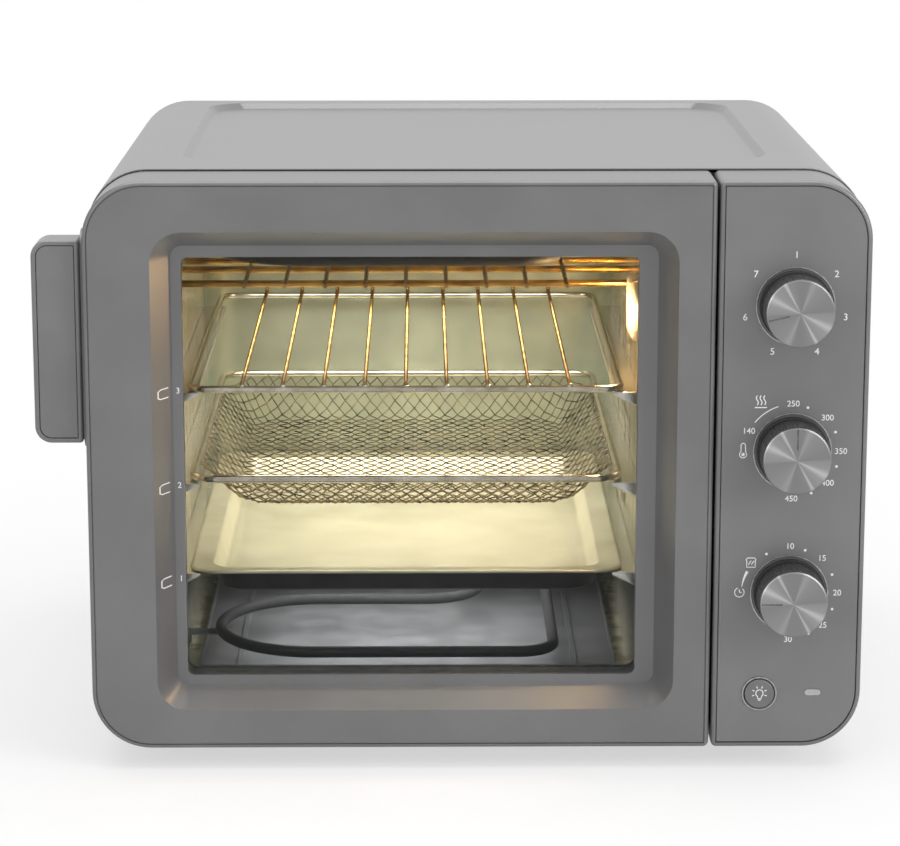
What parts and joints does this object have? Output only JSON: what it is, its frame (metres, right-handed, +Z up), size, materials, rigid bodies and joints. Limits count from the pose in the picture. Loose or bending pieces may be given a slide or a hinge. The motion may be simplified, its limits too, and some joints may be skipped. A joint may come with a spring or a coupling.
{
  "type": "air fryer toaster oven",
  "caption": "Countertop air fryer toaster oven with a side-hinged glass door, rotary controls, sliding rack, mesh basket, pan and crumb tray.",
  "frame": {"origin": "middle of the object's footprint on the counter", "axes": "+X to the right seen from the front, +Y from the door to the back, +Z up"},
  "size_m": [0.449, 0.4006, 0.326],
  "materials": {
    "brushed_sheet": "brushed stainless sheet, satin clear coat",
    "zinc_sheet": "bare galvanised sheet",
    "black_sheet": "black heat-proof paint",
    "cavity_sheet": "aluminised sheet, reflective",
    "heater_sheath": "black oxidised steel sheath",
    "steatite": "unglazed steatite",
    "chromed_wire": "chromium-plated wire",
    "lamp_glass": "heat-proof lamp glass",
    "steel": "bright steel",
    "fascia_paint": "satin grey metallic paint",
    "panel_paint": "satin grey metallic paint with white marks",
    "bright_trim": "bright trim ring",
    "black_nylon": "glass-filled nylon",
    "button_plastic": "satin painted plastic with a white mark",
    "indicator_plastic": "pale translucent lens",
    "foot_rubber": "moulded rubber",
    "seal_rubber": "silicone seal",
    "door_glass": "clear toughened glass",
    "handle_metal": "satin grey metallic paint",
    "handle_face_paint": "satin grey metallic paint",
    "pan_enamel": "dark non-stick coating",
    "tray_steel": "dark non-stick coating",
    "knob_side": "knurled, dark anodised",
    "knob_face": "spun-brushed, clear anodised"
  },
  "bodies": {
    "casing": {"outer_wrapper": "brushed_sheet", "bottom_plate": "zinc_sheet", "rear_panel": "zinc_sheet", "rear_cover": "zinc_sheet", "mains_gland": "black_nylon", "front_plate": "black_sheet", "cavity_left_wall": "cavity_sheet", "cavity_right_wall": "cavity_sheet", "cavity_back": "cavity_sheet", "cavity_floor": "cavity_sheet", "cavity_ceiling": "cavity_sheet", "rack_rails": "cavity_sheet", "upper_heater": "heater_sheath", "lower_heater": "heater_sheath", "heater_terminals": "steatite", "heater_clips": "zinc_sheet", "heater_guard": "chromed_wire", "lamp_lens": "lamp_glass", "lamp_holder": "zinc_sheet", "lamp_bulb": "lamp_glass", "fan_shroud": "zinc_sheet", "fan_motor": "zinc_sheet", "control_housing": "fascia_paint", "control_face": "panel_paint", "bezel_rings": "bright_trim", "lamp_switch": "black_nylon", "indicator_lens": "indicator_plastic", "hinge_brackets": "steel", "door_magnet": "black_nylon", "feet": "foot_rubber", "function_switch": "black_nylon", "temperature_switch": "black_nylon", "timer_switch": "black_nylon"},
    "door": {"door_frame": "fascia_paint", "door_glass": "door_glass", "glass_spacer": "zinc_sheet", "inner_glass": "door_glass", "door_liner": "zinc_sheet", "door_gasket": "seal_rubber", "hinge_bushes": "black_nylon", "handle_body": "handle_metal", "handle_face": "handle_face_paint"},
    "lamp_button": {"lamp_button": "button_plastic"},
    "fan": {"fan_shaft": "steel", "fan_impeller": "steel"},
    "wire_rack": {"wire_rack": "chromed_wire"},
    "basket": {"basket_rim": "chromed_wire", "basket_walls": "chromed_wire", "basket_floor": "chromed_wire"},
    "baking_pan": {"baking_pan": "pan_enamel"},
    "crumb_tray": {"crumb_tray": "tray_steel"},
    "function_dial": {"function_knob": "knob_side", "function_knob_cap": "knob_face", "function_spindle": "steel"},
    "temperature_dial": {"temperature_knob": "knob_side", "temperature_knob_cap": "knob_face", "temperature_spindle": "steel"},
    "timer_dial": {"timer_knob": "knob_side", "timer_knob_cap": "knob_face", "timer_spindle": "steel"}
  },
  "joints": [
    {"name": "door_hinge", "type": "hinge", "parent": "casing", "child": "door", "pos_m": [0.1362, -0.1722, 0.1685], "axis": [0, 0, 1], "range_deg": [0, 105]},
    {"name": "function_turn", "type": "hinge", "parent": "casing", "child": "function_dial", "pos_m": [0.1831, -0.1867, 0.2578], "axis": [0, 1, 0], "range_deg": [-308.5, 0]},
    {"name": "temperature_turn", "type": "hinge", "parent": "casing", "child": "temperature_dial", "pos_m": [0.1831, -0.1867, 0.1783], "axis": [0, 1, 0], "range_deg": [-65, 180]},
    {"name": "timer_turn", "type": "hinge", "parent": "casing", "child": "timer_dial", "pos_m": [0.1831, -0.1867, 0.0994], "axis": [0, 1, 0], "range_deg": [-270, 0]},
    {"name": "lamp_press", "type": "slide", "parent": "casing", "child": "lamp_button", "axis": [0, 1, 0], "range_m": [0, 0.0025], "stiffness_N_per_m": 400},
    {"name": "fan_spin", "type": "hinge", "parent": "casing", "child": "fan", "pos_m": [0.1185, 0.0133, 0.165], "axis": [1, 0, 0], "continuous": true},
    {"name": "wire_rack_slide", "type": "slide", "parent": "casing", "child": "wire_rack", "axis": [0, -1, 0], "range_m": [0, 0.0625]},
    {"name": "basket_slide", "type": "slide", "parent": "casing", "child": "basket", "axis": [0, -1, 0], "range_m": [0, 0.0625]},
    {"name": "baking_pan_slide", "type": "slide", "parent": "casing", "child": "baking_pan", "axis": [0, -1, 0], "range_m": [0, 0.0625]},
    {"name": "crumb_tray_slide", "type": "slide", "parent": "casing", "child": "crumb_tray", "axis": [0, -1, 0], "range_m": [0, 0.0625]}
  ],
  "couplings": [
    {"joint": "wire_rack_slide", "follows": "door_hinge", "m_per_rad": 0.034},
    {"joint": "basket_slide", "follows": "door_hinge", "m_per_rad": 0.034},
    {"joint": "baking_pan_slide", "follows": "door_hinge", "m_per_rad": 0.034},
    {"joint": "crumb_tray_slide", "follows": "door_hinge", "m_per_rad": 0.034}
  ]
}
